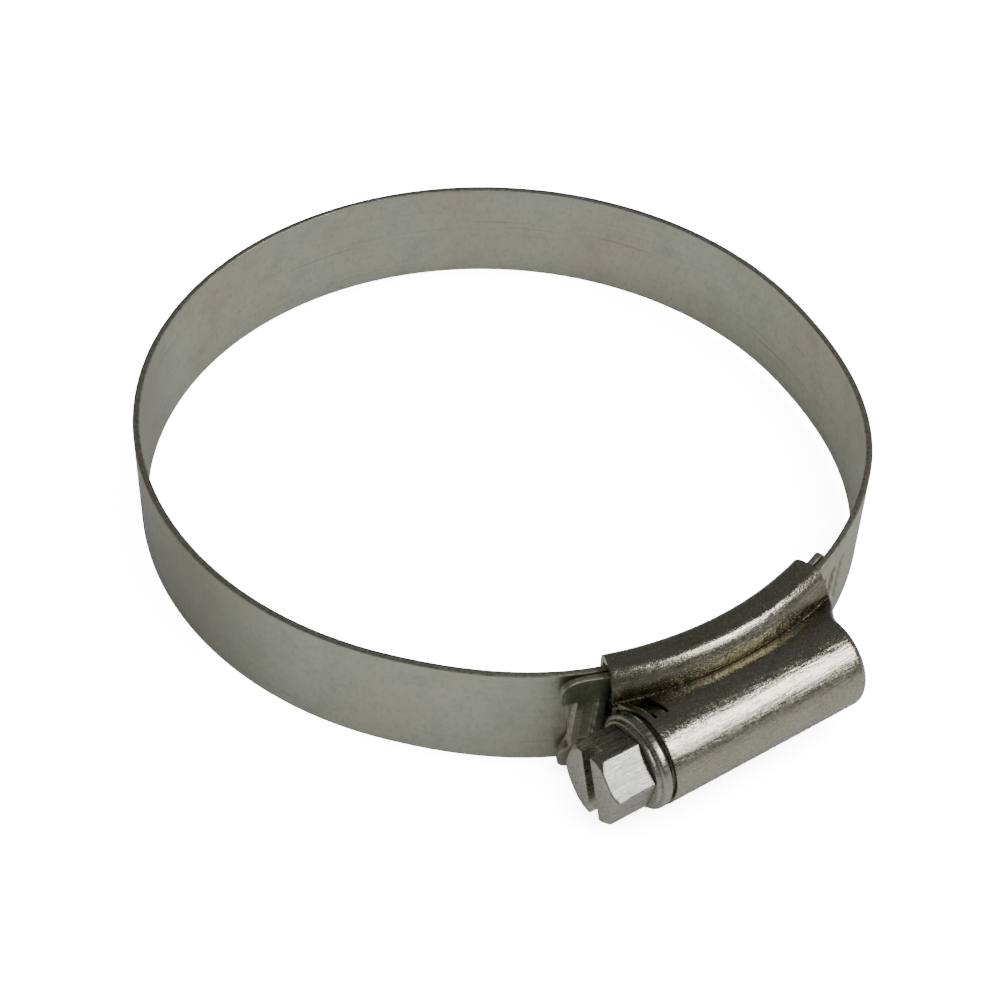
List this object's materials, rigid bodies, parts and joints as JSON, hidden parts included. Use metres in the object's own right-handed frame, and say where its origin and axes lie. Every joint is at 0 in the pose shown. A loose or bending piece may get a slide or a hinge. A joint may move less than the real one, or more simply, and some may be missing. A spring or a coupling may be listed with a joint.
{
  "type": "hose clamp",
  "caption": "Worm-drive hose clamp: a thin steel band with pressed grooves, drawn through a folded housing by a hexagon screw.",
  "frame": {"origin": "centre of the ring's bore, fully opened, halfway up the band's width", "axes": "+Z along the ring's axis; the housing is at -Y, the screw lies along X and its head points to -X"},
  "size_m": [0.0734, 0.0834, 0.0132],
  "materials": {
    "band": "zinc-plated, rolled, satin",
    "housing": "zinc-plated, pressed, bright with fine grain",
    "screw": "zinc-plated, rolled, bright"
  },
  "bodies": {
    "housing": {"pressed_housing": "housing", "band_fixed_end": "band"},
    "screw": {"worm_screw": "screw"},
    "ring_left": {"band_left": "band"},
    "ring_back": {"band_back": "band"},
    "ring_right": {"band_right": "band"},
    "tongue": {"band_tongue": "band"}
  },
  "joints": [
    {"name": "screw_turn", "type": "hinge", "parent": "housing", "child": "screw", "pos_m": [0, -0.04191, 0], "axis": [1, 0, 0], "range_deg": [0, 2160]},
    {"name": "flex_left_front", "type": "hinge", "parent": "housing", "child": "ring_left", "pos_m": [-0.02845, -0.02263, 0], "axis": [0, 0, -1], "range_deg": [0, 4.6]},
    {"name": "flex_left_back", "type": "hinge", "parent": "ring_left", "child": "ring_back", "pos_m": [-0.02471, 0.02666, 0], "axis": [0, 0, -1], "range_deg": [0, 4.6]},
    {"name": "flex_right_back", "type": "hinge", "parent": "ring_back", "child": "ring_right", "pos_m": [0.02471, 0.02666, 0], "axis": [0, 0, -1], "range_deg": [0, 4.6]},
    {"name": "flex_right_front", "type": "hinge", "parent": "ring_right", "child": "tongue", "pos_m": [0.02958, -0.02353, 0], "axis": [0, 0, -1], "range_deg": [0, 4.6]}
  ],
  "couplings": [
    {"joint": "flex_left_front", "follows": "screw_turn", "ratio": 0.002084},
    {"joint": "flex_left_back", "follows": "screw_turn", "ratio": 0.002084},
    {"joint": "flex_right_back", "follows": "screw_turn", "ratio": 0.002084},
    {"joint": "flex_right_front", "follows": "screw_turn", "ratio": 0.002084}
  ]
}
